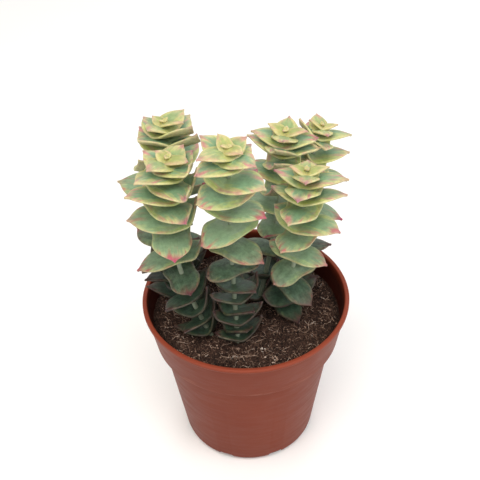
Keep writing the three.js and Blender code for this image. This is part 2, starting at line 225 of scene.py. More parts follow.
def lightStudio():
    world = bpy.data.worlds.new("studio")
    scene.world = world
    world.use_nodes = True
    world.node_tree.nodes.clear()
    sky = addNode(world.node_tree, "Background",
                  {"Color": linear(studio["skyColour"]), "Strength": studio["skyStrength"]})
    addNode(world.node_tree, "OutputWorld", links={"Surface": sky})
    for name, (place, size, watts, colour) in studio["softBoxes"].items():
        data = bpy.data.lights.new(name, "AREA")
        data.shape = "DISK"
        data.size = mm(size)
        data.energy = watts
        data.color = linear(colour)[:3]
        lamp = bpy.data.objects.new(name, data)
        lamp.location = mmPoint(place)
        aim = mmPoint(view["target"]) - lamp.location
        lamp.rotation_euler = aim.to_track_quat("-Z", "Y").to_euler()
        scene.collection.objects.link(lamp)


# Matt painted board: keeps soft shadows and nothing else
def makeFloor():
    floor = addPrimitive(bpy.ops.mesh.primitive_plane_add, "studioFloor", size=mm(studio["floorSize"]))
    material, tree = newMaterial("mattPaintedBoard")
    shader = addNode(tree, "BsdfPrincipled",
                     {"Base Color": linear(studio["floorColour"]), "Roughness": 0.9})
    finishMaterial(tree, shader)
    floor.data.materials.append(material)


placeCamera()
lightStudio()
makeFloor()
print("camera, lights and floor placed")

pot = {
    "steps": 144,  # sides of the spun wall
    "height": 91.3,
    "wall": 1.3,
    "rimRadius": 52.5,
    "lipHeight": 2.2,
    "lipWidth": 2.3,
    "lipRound": 0.7,
    "collarHeight": 23.4,
    "collarTopRadius": 51.3,
    "collarFootRadius": 47.8,
    "edgeRound": 0.6,
    "bodyTopRadius": 44.6,
    "footRadius": 35.6,
    "footRound": 4.5,
    "footRingInside": 27.6,
    "padRadius": 15,
    "recess": 2,
    "drainCount": 8,
    "drainWidth": 8,
    "drainHeight": 4,
    "drainRound": 0.9,
    "drainTurn": 0.5,  # of the step from slot to slot
    "sharpFrom": 32,  # degrees between two faces
}
pot["collarFoot"] = pot["height"] - pot["collarHeight"]

potFinish = {
    "plain": "#763017",
    "shade": "#6B2914",
    # painted highlight along the lip
    "lip": "#8E402B",
    "rubbed": "#9A6858",
    # painted shade inside the pot
    "paintedShadeInside": "#421A12",
}


# Inside radius of the pot at a height, or at an array of heights.
def potInside(height):
    collar = (height - pot["collarFoot"]) / pot["collarHeight"]
    body = (height - pot["footRound"]) / (pot["collarFoot"] - pot["footRound"])
    upper = mix(pot["collarFootRadius"] - pot["wall"], pot["rimRadius"] - pot["lipWidth"], collar)
    lower = mix(pot["footRadius"], pot["bodyTopRadius"], body) - pot["wall"]
    return np.where(height > pot["collarFoot"], upper, lower)[()]


def makePot():
    lipFoot = pot["height"] - pot["lipHeight"]
    ledge = pot["collarFoot"] + pot["wall"]
    overLedge = ledge + 1
    floorTop = pot["recess"] + pot["wall"]
    lip, edge = pot["lipRound"], pot["edgeRound"]
    foot = (pot["footRadius"] - pot["footRound"], pot["footRound"])
    lipInside = pot["rimRadius"] - pot["lipWidth"]
    profile = [
        (0, 0),
        (pot["padRadius"], 0),
        (pot["padRadius"] + pot["recess"] / 2, pot["recess"]),
        (pot["footRingInside"] - pot["recess"] / 2, pot["recess"]),
        (pot["footRingInside"], 0),
        *arc(foot, pot["footRound"], -90, -8, 8),
        (pot["bodyTopRadius"], pot["collarFoot"]),
        *arc((pot["collarFootRadius"] - edge, pot["collarFoot"] + edge), edge, -90, -6, 4),
        (pot["collarTopRadius"], lipFoot),
        *arc((pot["rimRadius"] - edge, lipFoot + edge), edge, -80, 0, 4),
        *arc((pot["rimRadius"] - lip, pot["height"] - lip), lip, 0, 90, 5),
        *arc((lipInside + lip, pot["height"] - lip), lip, 90, 180, 5),
        (potInside(overLedge), overLedge),
        *arc((potInside(ledge) - edge, ledge + edge), edge, 0, -90, 3),
        (potInside(pot["collarFoot"]), ledge),
        (potInside(pot["footRound"]), pot["footRound"] + pot["wall"]),
        (potInside(0) - pot["footRound"] / 2, floorTop),
        (0, floorTop),
    ]
    piece = spinProfile("nurseryPot", profile, pot["steps"])

    # drain slots through the corner between wall and underside
    length = pot["footRadius"] - pot["footRingInside"] + pot["footRound"]
    cutter = addPrimitive(bpy.ops.mesh.primitive_cube_add, "slotCutter", size=1)
    editAll()
    bpy.ops.transform.resize(value=mmPoint((length, pot["drainWidth"], pot["drainHeight"] * 2)))
    bpy.ops.mesh.bevel(offset=mm(pot["drainRound"]), segments=3)
    bpy.ops.transform.translate(value=mmPoint((pot["footRingInside"] + length / 2, 0, 0)))
    bpy.ops.object.mode_set(mode="OBJECT")
    points, faces = takeBlank(cutter)
    turns = [(i + pot["drainTurn"]) * 2 * math.pi / pot["drainCount"] for i in range(pot["drainCount"])]
    slots = [points @ np.array(Matrix.Rotation(-turn, 3, "Z")) for turn in turns]
    cutters = fuseCopies("drainSlots", faces, slots, {})
    boolean = piece.modifiers.new("drainSlots", "BOOLEAN")
    boolean.object = cutters
    boolean.operation = "DIFFERENCE"
    boolean.solver = "EXACT"
    applyModifiers(piece)
    bpy.data.objects.remove(cutters)
    selectOnly(piece)
    bpy.ops.object.shade_smooth_by_angle(angle=math.radians(pot["sharpFrom"]))

    # the inside is marked, with a hair's room so that rounding can't put the collar's foot inside
    hair = 0.05
    points = meshPoints(piece) * 1000
    radii, heights = np.hypot(points[:, 0], points[:, 1]), points[:, 2]
    inside = radii < potInside(heights - hair) + pot["wall"] / 2
    inside &= heights > pot["recess"] + pot["wall"] / 2
    mark = piece.data.attributes.new("inside", "FLOAT", "POINT")
    mark.data.foreach_set("value", inside.astype(np.float32))
    return piece


# Injection-moulded polypropylene, pigmented right through: even and satin, with dusty rub marks along
# the collar's foot, fine handling scratches, a painted highlight along the lip and painted shade inside.
def mouldedPolypropylene():
    material, tree = newMaterial("mouldedTerracottaPolypropylene")
    place = addNode(tree, "TexCoord").outputs["Object"]
    height = addNode(tree, "SeparateXYZ", links={0: place}).outputs["Z"]

    # the pigment varies a little over patches of about 3 cm
    cloud = addNode(tree, "TexNoise", {"Scale": 32, "Detail": 3}, {"Vector": place})
    base = addNode(tree, "Mix",
                   {"data_type": "RGBA", 6: linear(potFinish["shade"]), 7: linear(potFinish["plain"])},
                   {0: cloud})

    # rubbed streaks, 17 mm long round the pot and 2.4 mm up it, thickest along the collar's foot
    rubPlace = addNode(tree, "Mapping", {"Scale": (60, 60, 420)}, {"Vector": place})
    rubs = addNode(tree, "TexNoise", {"Scale": 1, "Detail": 5, "Roughness": 0.65}, {"Vector": rubPlace})
    fromFoot = addNode(tree, "Math", {"operation": "SUBTRACT", 1: mm(pot["collarFoot"])}, {0: height})
    footDistance = addNode(tree, "Math", {"operation": "ABSOLUTE"}, {0: fromFoot})
    nearFoot = addNode(tree, "MapRange", {**smoothly, "From Max": mm(6), "To Min": 0.22, "To Max": 0},
                       {"Value": footDistance})
    rubbed = addNode(tree, "Math", {"operation": "ADD"}, {0: rubs, 1: nearFoot})
    rubShare = addNode(tree, "MapRange", {**smoothly, "From Min": 0.62, "From Max": 0.84, "To Max": 0.35},
                       {"Value": rubbed})

    # hair-fine scratches, drawn 0.4 mm wide so that they can be seen at all
    scratchPlace = addNode(tree, "Mapping", {"Scale": (60, 60, 1100), "Rotation": (0.5, 0.3, 0)},
                           {"Vector": place})
    scratches = addNode(tree, "TexNoise", {"Scale": 1, "Detail": 2, "Distortion": 0.6},
                        {"Vector": scratchPlace})
    scratchShare = addNode(tree, "MapRange", {"From Min": 0.7, "From Max": 0.76, "To Max": 0.15},
                           {"Value": scratches})

    # painted highlight: the lip is painted paler along its top, where it catches the light
    lipHighlightShare = addNode(tree, "MapRange",
                       {"From Min": mm(pot["height"] - pot["lipHeight"] - 0.3),
                        "From Max": mm(pot["height"] - 0.3), "To Max": 0.75}, {"Value": height})

    # painted shade inside the pot: the inside is painted darker, less so up by the lip
    inside = addNode(tree, "Attribute", {"attribute_name": "inside"}).outputs["Fac"]
    belowLip = addNode(tree, "MapRange",
                       {"From Min": mm(pot["height"] - 0.4), "From Max": mm(pot["height"] - 5)},
                       {"Value": height})
    insideShadeShare = addNode(tree, "Math", {"operation": "MULTIPLY"}, {0: inside, 1: belowLip})

    colour = base.outputs[2]
    # over the pigment go rubs, scratches, the lip's painted highlight and the painted shade inside
    for share, above in ((rubShare, "rubbed"), (scratchShare, "rubbed"), (lipHighlightShare, "lip"),
                         (insideShadeShare, "paintedShadeInside")):
        colour = addNode(tree, "Mix", {"data_type": "RGBA", 7: linear(potFinish[above])},
                         {0: share, 6: colour}).outputs[2]

    # rubbed places are duller, and the mould's fine grain is drawn 0.7 mm wide so that it shows at all
    roughness = addNode(tree, "MapRange",
                        {"From Min": 0.3, "From Max": 0.8, "To Min": 0.42, "To Max": 0.62},
                        {"Value": rubbed})
    grain = addNode(tree, "TexNoise", {"Scale": 1500, "Detail": 2}, {"Vector": place})
    bump = addNode(tree, "Bump", {"Strength": 0.12, "Distance": mm(0.2)}, {"Height": grain})
    shader = addNode(tree, "BsdfPrincipled", {"IOR": 1.49, "Specular IOR Level": 0.2},
                     {"Base Color": colour, "Roughness": roughness, "Normal": bump})
    finishMaterial(tree, shader)
    return material


nurseryPot = makePot()
nurseryPot.data.materials.append(mouldedPolypropylene())
handOver(nurseryPot, "pot")
print("pot made")

soilLevel = 81
soil = {
    "gap": 0.3,  # to the pot
    "rings": 88,
    "steps": 288,
    "wallRows": (2, -0.1),  # above and below the collar's foot, where the pot steps in
    "clodSize": 3.6,
    "clodMiddle": 0.45,  # how near its middle a clod stands above the soil's level
    "clodDepth": 1.8,
    "swellPitch": 0.35,  # swells, and grains of grit, in the length of a clod
    "swellDepth": 1.0,
    "gritPitch": 3.5,
    "gritDepth": 0.8,
    "dip": 3.2,  # how far the soil has shrunk down along the wall
    "dipWidth": 4.2,
    "seed": 5,
}


# Height of the soil in mm at a place: clods, swells and grit, sunk along the pot's wall.
def soilHeight(x, y):
    place = Vector((x, y, 0)) / soil["clodSize"]
    clod = soil["clodMiddle"] - noise.voronoi(place)[0][0]
    swell = noise.noise(place * soil["swellPitch"])
    grit = noise.noise(place * soil["gritPitch"])
    relief = soil["clodDepth"] * clod + soil["swellDepth"] * swell + soil["gritDepth"] * grit
    fromWall = potInside(soilLevel) - math.hypot(x, y)
    return soilLevel + relief - soil["dip"] * (1 - smoothStep(0, soil["dipWidth"], fromWall))


def makeSoilBody():
    gap = soil["gap"]
    edge = potInside(soilLevel) - gap
    floorTop = pot["recess"] + pot["wall"] + gap
    wallHeights = [pot["collarFoot"] + row for row in soil["wallRows"]]
    profile = [
        *((edge * math.sqrt(i / soil["rings"]), soilLevel) for i in range(soil["rings"] + 1)),
        *((potInside(height) - gap, height) for height in wallHeights),
        (potInside(pot["footRound"]) - gap, pot["footRound"] + pot["wall"]),
        (potInside(0) - pot["footRound"] / 2 - gap, floorTop),
        (0, floorTop),
    ]
    piece = spinProfile("peatSoil", profile, soil["steps"])
    for vertex in piece.data.vertices:
        x, y, z = vertex.co * 1000
        if z > soilLevel - 0.01:  # on the flat top
            vertex.co.z = mm(soilHeight(x, y))
    return piece


# A place on the soil, drawn evenly over its area.
def drawPlace(draws, edge):
    distance, angle = edge * math.sqrt(draws.random()), 2 * math.pi * draws.random()
    return np.array((math.cos(angle), math.sin(angle))) * distance


crumb = {
    "count": 5200,
    "fromWall": 1,
    "radius": (0.26, 0.9),
    "smallness": 6,  # the higher, the fewer large ones
    "tone": (-0.25, 1.0),
    "darkness": 3,  # the higher, the fewer pale ones
    "unevenPoints": (0.6, 1.3),
    "unevenSides": (0.6, 1.2),
    "proud": 0.15,  # share of its radius by which its middle stands above the soil
    # place, spread, count and tone of some pale grains and of crumbled bark
    "flecks": ((7, -29.3, 0.9, 5, 1.5), (13.1, -35.6, 1.9, 12, 1.15)),
    "fleckRadius": 0.55,
}


# Crumbs: little uneven balls, half sunk, many small and few large.
def makeCrumbs():
    blank = addPrimitive(bpy.ops.mesh.primitive_ico_sphere_add, "crumbBlank", subdivisions=1, radius=1)
    points, faces = takeBlank(blank)
    draws = np.random.default_rng(soil["seed"])
    edge = potInside(soilLevel) - crumb["fromWall"]
    spots = []
    for _ in range(crumb["count"]):
        place = drawPlace(draws, edge)
        radius = mix(*crumb["radius"], draws.random() ** crumb["smallness"])
        tone = mix(*crumb["tone"], draws.random() ** crumb["darkness"])
        spots.append((*place, radius, tone))
    for x, y, spread, count, tone in crumb["flecks"]:
        for _ in range(count):
            spots.append((*draws.normal((x, y), spread), crumb["fleckRadius"], tone))
    copies, tones = [], []
    for x, y, radius, tone in spots:
        uneven = points * draws.uniform(*crumb["unevenPoints"], points.shape)
        uneven *= draws.uniform(*crumb["unevenSides"], 3)
        turned = uneven @ np.array(Matrix.Rotation(math.pi * draws.random(), 3, "Y"))
        centre = np.array((x, y, soilHeight(x, y) + crumb["proud"] * radius))
        copies.append(mm(centre + turned * radius))
        tones.append(np.full(len(points), tone))
    piece = fuseCopies("peatCrumbs", faces, copies, {"tone": tones})
    piece.data.shade_flat()
    return piece


fibre = {
    "count": 3000,
    "segments": 7,
    "fromWall": 1.5,
    "radius": (0.09, 0.21),
    "thinness": 2,  # the higher, the fewer thick ones, and likewise below
    "length": (1.5, 8),
    "shortness": 2,
    "tone": (0, 1.3),
    "darkness": 1.7,
    "flatness": 3,
    "curl": 1.4,
    "wobble": 0.6,
    "proud": 0.6,  # share of its radius by which its middle line stands above the soil
    "taper": 0.75,
    "tangles": ((-8.5, -34, 1.1, 60, 3), (-22.5, -32, 1.0, 20, 2)),  # place, spread, count and loft
}


# Fibres: curled roots and moss stalks with tapered ends, lying on the soil.
def makeFibres():
    segments = fibre["segments"]
    blank = addPrimitive(bpy.ops.mesh.primitive_circle_add, "fibreBlank", vertices=3, radius=1,
                         fill_type="NGON")
    editAll()
    for _ in range(segments):
        bpy.ops.mesh.extrude_region_move(TRANSFORM_OT_translate={"value": (0, 0, 1 / segments)})
    bpy.ops.mesh.select_all(action="SELECT")
    bpy.ops.mesh.normals_make_consistent(inside=False)
    bpy.ops.object.mode_set(mode="OBJECT")
    points, faces = takeBlank(blank)
    along = points[:, 2]
    row = np.rint(along * segments).astype(int)
    narrowing = 1 - fibre["taper"] * (2 * np.abs(along - 0.5)) ** 3
    rows = np.linspace(0, 1, segments + 1)
    draws = np.random.default_rng(soil["seed"] + 1)
    edge = potInside(soilLevel) - fibre["fromWall"]
    tangled = [(x, y, spread, loft) for x, y, spread, count, loft in fibre["tangles"] for _ in range(count)]
    copies, tones = [], []
    while len(copies) < fibre["count"]:
        start, loft = drawPlace(draws, edge), 1
        if len(copies) < len(tangled):
            x, y, spread, loft = tangled[len(copies)]
            start = draws.normal((x, y), spread)
        length = mix(*fibre["length"], draws.random() ** fibre["shortness"])
        radius = mix(*fibre["radius"], draws.random() ** fibre["thinness"])
        curl, wobble = draws.normal(0, fibre["curl"]), draws.normal(0, fibre["wobble"])
        lift = loft * draws.random() ** (fibre["flatness"] / loft)
        heading = 2 * math.pi * draws.random() + curl * rows + wobble * np.sin(2 * math.pi * rows)
        steps = np.stack([np.cos(heading), np.sin(heading)], axis=1) * length / segments
        line = np.cumsum(steps, axis=0) + start
        if np.hypot(*line.T).max() > edge:
            continue
        rise = radius * fibre["proud"] + lift * np.sin(math.pi * rows)
        centres = np.column_stack([line, [soilHeight(x, y) for x, y in line] + rise])
        side = np.stack([-np.sin(heading), np.cos(heading)], axis=1)[row]
        taper = radius * narrowing
        across, upward = points[:, 0] * taper, points[:, 1] * taper
        copies.append(mm(centres[row] + np.column_stack([side * across[:, None], upward])))
        tone = mix(*fibre["tone"], draws.random() ** fibre["darkness"])
        tones.append(np.full(len(points), tone))
    return fuseCopies("peatFibres", faces, copies, {"tone": tones})


# damp peat, and the paler colours over it with the tones between which each comes in
dampPeat = "#160E0B"
dryPeat = (("#4A342A", -0.25, 0.3), ("#846857", 0.3, 0.8), ("#C6A792", 0.8, 1.2), ("#E8DED2", 1.3, 1.6))


# Fibrous peat: dark and damp in the body, paler and duller in dry crumbs, straw-coloured in fibres.
def fibrousPeat():
    material, tree = newMaterial("fibrousPeat")
    place = addNode(tree, "TexCoord").outputs["Object"]
    tone = addNode(tree, "Attribute", {"attribute_name": "tone"}).outputs["Fac"]

    # crumble of 0.9 mm in damper and drier patches of 11 mm
    crumble = addNode(tree, "TexNoise", {"Scale": 1100, "Detail": 4, "Roughness": 0.75}, {"Vector": place})
    patches = addNode(tree, "TexNoise", {"Scale": 90, "Detail": 2}, {"Vector": place})
    speckle = addNode(tree, "MapRange", {"From Min": 0.36, "From Max": 0.66, "To Min": -0.3, "To Max": 0.5},
                      {"Value": crumble})
    patch = addNode(tree, "Math", {"operation": "MULTIPLY_ADD", 1: 0.5, 2: -0.25}, {0: patches})
    speckled = addNode(tree, "Math", {"operation": "ADD"}, {0: speckle, 1: patch})
    level = addNode(tree, "Math", {"operation": "ADD"}, {0: speckled, 1: tone})
    colour = None
    for above, start, end in dryPeat:
        share = addNode(tree, "MapRange", {"From Min": start, "From Max": end}, {"Value": level})
        layer = addNode(tree, "Mix", {"data_type": "RGBA", 6: linear(dampPeat), 7: linear(above)},
                        {0: share})
        if colour:
            tree.links.new(colour, layer.inputs[6])
        colour = layer.outputs[2]
    bump = addNode(tree, "Bump", {"Strength": 0.7, "Distance": mm(0.6)}, {"Height": crumble})
    shader = addNode(tree, "BsdfPrincipled", {"Roughness": 0.92, "Specular IOR Level": 0.25},
                     {"Base Color": colour, "Normal": bump})
    finishMaterial(tree, shader)
    return material


peat = fibrousPeat()
for make, node in ((makeSoilBody, "soil"), (makeCrumbs, None), (makeFibres, None)):
    piece = make()
    piece.data.materials.append(peat)
    handOver(piece, node)
print("soil made")

# Ranges such as blunting, shrinking and flattening, and the steps, are in mm along the stem. Widths,
# the waist, the beak, the slope, the curl and the cup go by the leaf's own size.
leafShape = {
    "length": 19.5,  # the largest leaves, from the stem's axis to the point
    "lowShare": 0.85,
    "halfWidth": (0.47, 0.45),  # half width to length, high and low on the stem
    "thickness": 2.5,
    "edgeShare": 0.42,
    "pointShare": 0.5,
    "youngShare": 0.45,
    "leastThickness": 0.5,
    "pointWidth": 0.02,
    "waist": 0.9,
    "widestAt": 0.45,
    "pointed": (2.6, 3.8, 2.3),  # young, grown and low on the stem
    "blunting": (8, 34),
    "beakFrom": 0.95,
    "beakWidth": 0.07,
    "growth": 3.2,
    "shrinking": (36, 72),
    "flattening": (30, 58),
    "risingAgain": (72, 90),
    "slope": (0.6, 0.01, 0.2),  # usual and flat, and what youth adds
    "curl": (0.32, 0.05),  # high and low on the stem
    "cup": (-0.04, 0.16),
    "saddle": 0.1,
    "uneven": {"turn": 9, "length": 0.07, "tilt": 0.12, "sway": 1.6},
    "leanFades": 50,
    "headPairs": (0.5, 2, 4, 6.6, 10.1),
    "shortStep": 5.1,
    "longStep": 13.7,
    "spreadBelow": 27,
    "lowestPair": 2.6,
}
# mm that leaves keep from what stands round them, and how they bend there
room = {
    "neighbour": 1.0,
    "overhead": 4,
    "pot": 1.6,
    "soil": 1.9,
    "widening": 2,  # for each mm above a neighbour's tip or the pot's rim
    "bend": 4,
    "lift": 0.75,
}

leafyStems = {
    "leafyStemFront": {
        "node": "leafy_stem_front",
        "points": ((-4.6, -24.1, soilLevel), (-7, -9.9, 134), (-5.7, -20.2, 195.1)),
        "facing": (218, 232, 206),
        "size": (0.91, 1.04, 0.96),
        "lean": (-0.17, -0.25),
        "spacing": (19.7, 68, 53, 12),
        "seed": 11,
    },
    "leafyStemFrontLeft": {
        "node": "leafy_stem_front_left",
        "points": ((-18.5, -16.8, soilLevel), (-39.6, -12.2, 132), (-31.8, -13.8, 186.6)),
        "facing": (232, 181, 257),
        "size": (1, 1.07, 0.95),
        "lean": (0.16, -0.25),
        "spacing": (15.9, 60, 27, 11),
        "seed": 143,
    },
    "leafyStemFrontRight": {
        "node": "leafy_stem_front_right",
        "points": ((19.1, 4, soilLevel), (24.8, -16.4, 122), (28.8, -7.2, 172.8)),
        "facing": (259, 232, 202),
        "size": (0.98, 0.87, 1.08),
        "lean": (0.12, -0.25),
        "spacing": (15, 66, 41, 9),
        "seed": 364,
    },
    "leafyStemBackLeft": {
        "node": "leafy_stem_back_left",
        "points": ((-31.5, 6.4, soilLevel), (-38, 4.5, 132), (-34.6, 12.9, 187.7)),
        "facing": (228, 264, 189),
        "size": (0.96, 1.42, 1.05),
        "lean": (0.25, -0.06),
        "spacing": (12.3, 42, 59, 11),
        "seed": 282,
    },
    "leafyStemBackMiddle": {
        "node": "leafy_stem_back_middle",
        "points": ((6.5, 4.3, soilLevel), (18.5, 17.4, 124), (21.1, 20.2, 176)),
        "facing": (255, 261, 222),
        "size": (1.04, 0.95, 1.12),
        "lean": (0.05, -0.1),
        "spacing": (11.5, 63, 32, 9),
        "seed": 10,
    },
    "leafyStemBackRight": {
        "node": "leafy_stem_back_right",
        "points": ((27.1, 20.2, soilLevel), (24.9, 26.4, 124), (39.5, 31.9, 171)),
        "facing": (274, 257, 303),
        "size": (0.78, 1.22, 1.05),
        "lean": (0.09, -0.02),
        "spacing": (17.8, 66, 35, 9),
        "seed": 67,
    },
}


# A repeatable draw between -1 and 1 for each stem's seed, pair and purpose: 1 and -1 for the lengths of
# its two leaves, 3 turn, 4 tilt, 5 and 6 sway, 7 and 8 blush.
def draw(seed, index, purpose):
    wave = math.sin(seed * 12.9898 + index * 78.233 + purpose * 37.719) * 43758.5453
    return 2 * (wave - math.floor(wave)) - 1


# Anything beyond limit - soft eases towards limit and never reaches it.
def easedLimit(value, limit, soft):
    start = limit - soft
    over = np.maximum(value - start, 0)
    return np.minimum(value, start) + soft * (1 - np.exp(-over / soft)) * (over > 0)


# A stem's arc, measured along its length from the tip.
class StemAxis:
    def __init__(self, points):
        self.low, self.bend, self.tip = [np.array(point, float) for point in points]
        self.shares = np.linspace(0, 1, 201)  # steps to measure the arc by
        steps = np.diff(self.at(self.shares), axis=0)
        self.reached = np.concatenate([[0], np.cumsum(np.linalg.norm(steps, axis=1))])
        self.length = self.reached[-1]

    def at(self, share):
        share = np.asarray(share, float)[..., None]
        return (1 - share) ** 2 * self.low + 2 * share * (1 - share) * self.bend + share**2 * self.tip

    def shareAt(self, fromTip):
        return np.interp(self.length - fromTip, self.reached, self.shares)

    def pointAt(self, fromTip):
        return self.at(self.shareAt(fromTip))

    def directionAt(self, fromTip):
        share = self.shareAt(fromTip)
        way = (1 - share) * (self.bend - self.low) + share * (self.tip - self.bend)
        return way / np.linalg.norm(way)

    # the arc where it crosses each height, or a little past its foot for what lies lower
    def crossing(self, height):
        low, bend, tip = self.low[2], self.bend[2], self.tip[2]
        a = low - 2 * bend + tip
        b = 2 * (bend - low)
        c = low - height
        root = np.sqrt(np.maximum(b * b - 4 * a * c, 0))
        return self.at(np.clip(-2 * c / (b + root), -0.15, 1))


axes = {name: StemAxis(stem["points"]) for name, stem in leafyStems.items()}


def pairDistances(spacing, length):
    first, longestAt, spreadAbove, count = spacing
    lowest = length - leafShape["lowestPair"]
    distances = [first]
    while len(distances) < count:
        spread = spreadAbove if distances[-1] < longestAt else leafShape["spreadBelow"]
        bump = math.exp(-(((distances[-1] - longestAt) / spread) ** 2))
        distances.append(distances[-1] + mix(leafShape["shortStep"], leafShape["longStep"], bump))
    stretch = (lowest - first) / (distances[-1] - first)
    return [*leafShape["headPairs"], *(first + (d - first) * stretch for d in distances)]


givenEvery = 50  # mm between the tip and the two places below it where a stem's facing and size are given


def alongStem(values, fromTip):
    place = fromTip / givenEvery
    return mix(values[0], values[1], place) if place < 1 else mix(values[1], values[2], place - 1)


def pairShape(stem, index, fromTip):
    shape, uneven, seed = leafShape, leafShape["uneven"], stem["seed"]
    youth = math.exp(-fromTip / shape["growth"])
    grown = 1 - youth
    lowness = smoothStep(*shape["shrinking"], fromTip)
    risen = smoothStep(*shape["risingAgain"], fromTip)
    flatness = smoothStep(*shape["flattening"], fromTip) * (1 - risen)
    youngPointed, grownPointed, lowPointed = shape["pointed"]
    pointed = mix(youngPointed, grownPointed, smoothStep(*shape["blunting"], fromTip))
    usualSlope, flatSlope, youngSlope = shape["slope"]
    length = shape["length"] * grown * mix(1, shape["lowShare"], lowness) * alongStem(stem["size"], fromTip)
    turn = (index % 2) * 90 + uneven["turn"] * draw(seed, index, 3)
    facing = math.radians(alongStem(stem["facing"], fromTip) + turn)
    leaning = math.cos(facing) * stem["lean"][0] + math.sin(facing) * stem["lean"][1]
    leaning *= max(1 - fromTip / shape["leanFades"], 0)
    return {
        "facing": facing,
        "lengths": [length * (1 + way * leaning + uneven["length"] * draw(seed, index, way))
                    for way in (1, -1)],
        "width": length * mix(*shape["halfWidth"], lowness),
        "thickness": shape["thickness"] * mix(shape["youngShare"], 1, grown),
        "slope": mix(usualSlope, flatSlope, flatness) + youngSlope * youth,
        "curl": mix(*shape["curl"], lowness),
        "cup": mix(*shape["cup"], risen),
        "pointed": mix(pointed, lowPointed, risen),
        "tilt": uneven["tilt"] * draw(seed, index, 4),
        "sway": [uneven["sway"] * draw(seed, index, side) for side in (5, 6)],
    }


# Half width of a leaf along its length, 0 at the stem and 1 at the point.
def leafOutline(reach, pointed):
    shoulder = mix(leafShape["waist"], 1, smoothStep(0, leafShape["widestAt"], reach))
    blade = shoulder * np.maximum(1 - (reach / leafShape["beakFrom"]) ** pointed, 0)
    beak = leafShape["beakWidth"] * np.minimum((1 - reach) / (1 - leafShape["beakFrom"]), 1)
    return np.hypot(blade, beak) + leafShape["pointWidth"]


# How far out each place along a pair is, its leaf's length and the half width there.
def leafMeasures(shape, along):
    reach = np.abs(along)
    length = np.where(along < 0, shape["lengths"][1], shape["lengths"][0])
    return reach, length, shape["width"] * leafOutline(reach, shape["pointed"])


# Points of a pair's middle surface: along is -1 to 1 from point to point, across -1 to 1.
def middleSurface(place, shape, along, across):
    reach, length, half = leafMeasures(shape, along)
    sway = np.where(along < 0, shape["sway"][1], shape["sway"][0])
    saddle = leafShape["saddle"]
    rise = length * (shape["slope"] * (np.hypot(reach, saddle) - saddle) - shape["curl"] * reach**2)
    local = np.stack([
        along * length,
        across * half + sway * reach**2,
        rise + shape["cup"] * half * across**2 + shape["tilt"] * across * half,
    ], axis=-1)
    return giveWay(local @ place["turn"].T + place["centre"], place["stem"])


# Leaves bend up and in where they meet a neighbouring stem's leaves, the pot or the soil.
def giveWay(points, stemName):
    height = points[:, 2].copy()
    own = axes[stemName].crossing(height)
    moved = points.copy()
    for name, axis in axes.items():
        if name == stemName:
            continue
        towards = axis.crossing(height) - own
        towards[:, 2] = 0
        distance = np.linalg.norm(towards, axis=1)
        towards /= distance[:, None]
        above = room["widening"] * np.maximum(height - axis.tip[2] - room["overhead"], 0)
        reach = np.sum((moved - own) * towards, axis=1)
        eased = easedLimit(reach, distance / 2 - room["neighbour"] + above, room["bend"])
        moved += towards * (eased - reach)[:, None]
        moved[:, 2] += (reach - eased) * room["lift"]
    aboveRim = room["widening"] * np.maximum(moved[:, 2] - pot["height"], 0)
    wallLimit = potInside(moved[:, 2]) - room["pot"] + aboveRim
    radius = np.hypot(moved[:, 0], moved[:, 1])
    eased = easedLimit(radius, wallLimit, room["bend"])
    moved[:, :2] *= (eased / radius)[:, None]
    moved[:, 2] += (radius - eased) * room["lift"]
    moved[:, 2] = -easedLimit(-moved[:, 2], -(soilLevel + room["soil"]), room["bend"] / 2)
    return moved


leafBlank = {
    "length": 36,
    "width": 18,
    "thickness": 1.1,
    "rowsAlong": 32,
    "rowsAcross": 10,
    "rim": 0.5,
    "crowding": 1.5,  # how far the rows draw together towards the points
}


# A flat pair with rounded rims. Its x, y and z become along, across and through, each -1 to 1.
def makeLeafBlank():
    blank = addPrimitive(bpy.ops.mesh.primitive_grid_add, "leafBlank", size=1,
                         x_subdivisions=leafBlank["rowsAlong"], y_subdivisions=leafBlank["rowsAcross"])
    sizes = Vector((leafBlank["length"], leafBlank["width"], leafBlank["thickness"]))
    editAll()
    bpy.ops.transform.resize(value=(mm(sizes.x), mm(sizes.y), 1))
    bpy.ops.mesh.extrude_region_move(TRANSFORM_OT_translate={"value": (0, 0, mm(sizes.z))})
    bpy.ops.mesh.select_all(action="SELECT")
    bpy.ops.transform.translate(value=(0, 0, -mm(sizes.z) / 2))
    bpy.ops.mesh.normals_make_consistent(inside=False)
    bpy.ops.mesh.select_all(action="DESELECT")
    bpy.ops.mesh.edges_select_sharp(sharpness=math.radians(60))
    bpy.ops.mesh.bevel(offset=mm(leafBlank["rim"]), segments=3)
    bpy.ops.object.mode_set(mode="OBJECT")
    points, faces = takeBlank(blank)
    return points / (np.array(mmPoint(sizes)) / 2), faces


